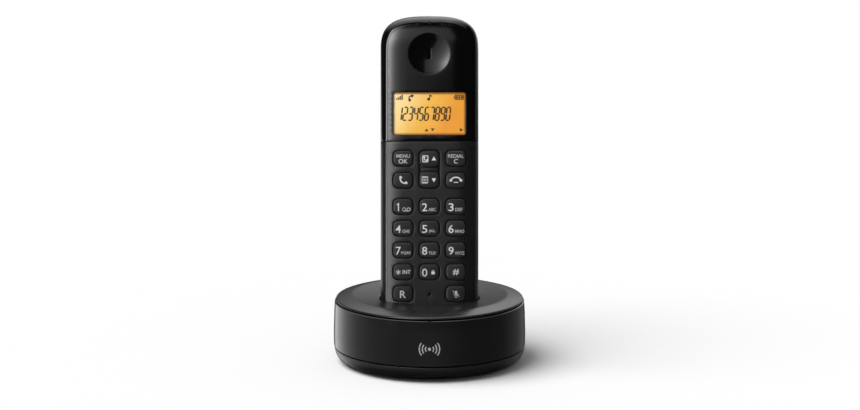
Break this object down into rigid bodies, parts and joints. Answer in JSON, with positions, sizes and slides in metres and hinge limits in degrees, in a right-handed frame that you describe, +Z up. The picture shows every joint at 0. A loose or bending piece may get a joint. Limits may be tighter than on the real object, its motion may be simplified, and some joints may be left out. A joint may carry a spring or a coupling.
{
  "type": "cordless phone with base",
  "caption": "Slim cordless telephone handset with keypad and amber display, standing in a round charging base that takes line and power plugs at the back.",
  "frame": {"origin": "centre of the base's footprint, on the surface it stands on", "axes": "+Z up, -Y towards the keypad side, +X to the user's right"},
  "size_m": [0.0928, 0.0934, 0.1645],
  "materials": {
    "gloss_black": "high gloss",
    "satin_black": "satin",
    "satin_charcoal": "satin",
    "key_charcoal": "satin",
    "socket_black": "matt",
    "rubber": "matt",
    "window": "clear",
    "amber_display": "backlit",
    "circuit_board": "solder mask",
    "plated_contact": "plated",
    "steel": "plain",
    "cell_wrap": "printed wrap"
  },
  "bodies": {
    "base": {"base_top_cover": "satin_black", "base_side_band": "gloss_black", "base_bottom_tray": "satin_black", "base_circuit_board": "circuit_board", "line_socket": "socket_black", "power_socket": "socket_black", "page_switch": "socket_black", "base_aerial": "plated_contact", "foot_1": "rubber", "foot_2": "rubber", "foot_3": "rubber", "foot_4": "rubber", "base_screw_1": "steel", "base_screw_2": "steel", "base_screw_3": "steel"},
    "handset": {"handset_front_upper": "gloss_black", "handset_front_lower": "satin_charcoal", "handset_rear_shell": "satin_charcoal", "display_window": "window", "display_panel": "amber_display", "display_holder": "socket_black", "earpiece_speaker": "socket_black", "microphone": "steel", "ringer_speaker": "socket_black", "handset_circuit_board": "circuit_board", "keypad_membrane": "rubber", "battery_left": "cell_wrap", "battery_right": "cell_wrap", "battery_plate_left": "plated_contact", "battery_plate_right": "plated_contact", "battery_spring_left": "steel", "battery_spring_right": "steel", "handset_contact_left": "plated_contact", "handset_contact_right": "plated_contact", "handset_screw_left": "steel", "handset_screw_right": "steel"},
    "key_menu": {"key_menu": "key_charcoal"},
    "key_redial": {"key_redial": "key_charcoal"},
    "key_talk": {"key_talk": "key_charcoal"},
    "key_end": {"key_end": "key_charcoal"},
    "key_1": {"key_1": "key_charcoal"},
    "key_2": {"key_2": "key_charcoal"},
    "key_3": {"key_3": "key_charcoal"},
    "key_4": {"key_4": "key_charcoal"},
    "key_5": {"key_5": "key_charcoal"},
    "key_6": {"key_6": "key_charcoal"},
    "key_7": {"key_7": "key_charcoal"},
    "key_8": {"key_8": "key_charcoal"},
    "key_9": {"key_9": "key_charcoal"},
    "key_star": {"key_star": "key_charcoal"},
    "key_0": {"key_0": "key_charcoal"},
    "key_hash": {"key_hash": "key_charcoal"},
    "key_recall": {"key_recall": "key_charcoal"},
    "key_mute": {"key_mute": "key_charcoal"},
    "key_rocker": {"key_rocker": "key_charcoal"},
    "battery_door": {"battery_door": "satin_charcoal"},
    "page_button": {"page_button": "gloss_black"},
    "cradle_contact_left": {"cradle_contact_left": "plated_contact"},
    "cradle_contact_right": {"cradle_contact_right": "plated_contact"}
  },
  "joints": [
    {"name": "handset_lift", "type": "slide", "parent": "base", "child": "handset", "axis": [0, 0.1736, 0.9848], "range_m": [0, 0.06]},
    {"name": "key_menu_press", "type": "slide", "parent": "handset", "child": "key_menu", "axis": [0, 0.9848, -0.1736], "range_m": [0, 0.0008], "stiffness_N_per_m": 400, "springref_m": -0.0005},
    {"name": "key_redial_press", "type": "slide", "parent": "handset", "child": "key_redial", "axis": [0, 0.9848, -0.1736], "range_m": [0, 0.0008], "stiffness_N_per_m": 400, "springref_m": -0.0005},
    {"name": "key_talk_press", "type": "slide", "parent": "handset", "child": "key_talk", "axis": [0, 0.9848, -0.1736], "range_m": [0, 0.0008], "stiffness_N_per_m": 400, "springref_m": -0.0005},
    {"name": "key_end_press", "type": "slide", "parent": "handset", "child": "key_end", "axis": [0, 0.9848, -0.1736], "range_m": [0, 0.0008], "stiffness_N_per_m": 400, "springref_m": -0.0005},
    {"name": "key_1_press", "type": "slide", "parent": "handset", "child": "key_1", "axis": [0, 0.9848, -0.1736], "range_m": [0, 0.0008], "stiffness_N_per_m": 400, "springref_m": -0.0005},
    {"name": "key_2_press", "type": "slide", "parent": "handset", "child": "key_2", "axis": [0, 0.9848, -0.1736], "range_m": [0, 0.0008], "stiffness_N_per_m": 400, "springref_m": -0.0005},
    {"name": "key_3_press", "type": "slide", "parent": "handset", "child": "key_3", "axis": [0, 0.9848, -0.1736], "range_m": [0, 0.0008], "stiffness_N_per_m": 400, "springref_m": -0.0005},
    {"name": "key_4_press", "type": "slide", "parent": "handset", "child": "key_4", "axis": [0, 0.9848, -0.1736], "range_m": [0, 0.0008], "stiffness_N_per_m": 400, "springref_m": -0.0005},
    {"name": "key_5_press", "type": "slide", "parent": "handset", "child": "key_5", "axis": [0, 0.9848, -0.1736], "range_m": [0, 0.0008], "stiffness_N_per_m": 400, "springref_m": -0.0005},
    {"name": "key_6_press", "type": "slide", "parent": "handset", "child": "key_6", "axis": [0, 0.9848, -0.1736], "range_m": [0, 0.0008], "stiffness_N_per_m": 400, "springref_m": -0.0005},
    {"name": "key_7_press", "type": "slide", "parent": "handset", "child": "key_7", "axis": [0, 0.9848, -0.1736], "range_m": [0, 0.0008], "stiffness_N_per_m": 400, "springref_m": -0.0005},
    {"name": "key_8_press", "type": "slide", "parent": "handset", "child": "key_8", "axis": [0, 0.9848, -0.1736], "range_m": [0, 0.0008], "stiffness_N_per_m": 400, "springref_m": -0.0005},
    {"name": "key_9_press", "type": "slide", "parent": "handset", "child": "key_9", "axis": [0, 0.9848, -0.1736], "range_m": [0, 0.0008], "stiffness_N_per_m": 400, "springref_m": -0.0005},
    {"name": "key_star_press", "type": "slide", "parent": "handset", "child": "key_star", "axis": [0, 0.9848, -0.1736], "range_m": [0, 0.0008], "stiffness_N_per_m": 400, "springref_m": -0.0005},
    {"name": "key_0_press", "type": "slide", "parent": "handset", "child": "key_0", "axis": [0, 0.9848, -0.1736], "range_m": [0, 0.0008], "stiffness_N_per_m": 400, "springref_m": -0.0005},
    {"name": "key_hash_press", "type": "slide", "parent": "handset", "child": "key_hash", "axis": [0, 0.9848, -0.1736], "range_m": [0, 0.0008], "stiffness_N_per_m": 400, "springref_m": -0.0005},
    {"name": "key_recall_press", "type": "slide", "parent": "handset", "child": "key_recall", "axis": [0, 0.9848, -0.1736], "range_m": [0, 0.0008], "stiffness_N_per_m": 400, "springref_m": -0.0005},
    {"name": "key_mute_press", "type": "slide", "parent": "handset", "child": "key_mute", "axis": [0, 0.9848, -0.1736], "range_m": [0, 0.0008], "stiffness_N_per_m": 400, "springref_m": -0.0005},
    {"name": "key_rocker_tilt", "type": "hinge", "parent": "handset", "child": "key_rocker", "pos_m": [0, 0.00257, 0.09285], "axis": [1, 0, 0], "range_deg": [-4, 4], "stiffness_Nm_per_rad": 0.05},
    {"name": "battery_door_hinge", "type": "hinge", "parent": "handset", "child": "battery_door", "pos_m": [0, 0.0129, 0.03614], "axis": [-1, 0, 0], "range_deg": [0, 50]},
    {"name": "page_button_press", "type": "slide", "parent": "base", "child": "page_button", "axis": [0, -1, 0], "range_m": [0, 0.0008], "stiffness_N_per_m": 400, "springref_m": -0.0005},
    {"name": "cradle_contact_left_press", "type": "slide", "parent": "base", "child": "cradle_contact_left", "axis": [0, -0.1736, -0.9848], "range_m": [0, 0.0012], "stiffness_N_per_m": 300, "springref_m": -0.0005},
    {"name": "cradle_contact_right_press", "type": "slide", "parent": "base", "child": "cradle_contact_right", "axis": [0, -0.1736, -0.9848], "range_m": [0, 0.0012], "stiffness_N_per_m": 300, "springref_m": -0.0005}
  ]
}
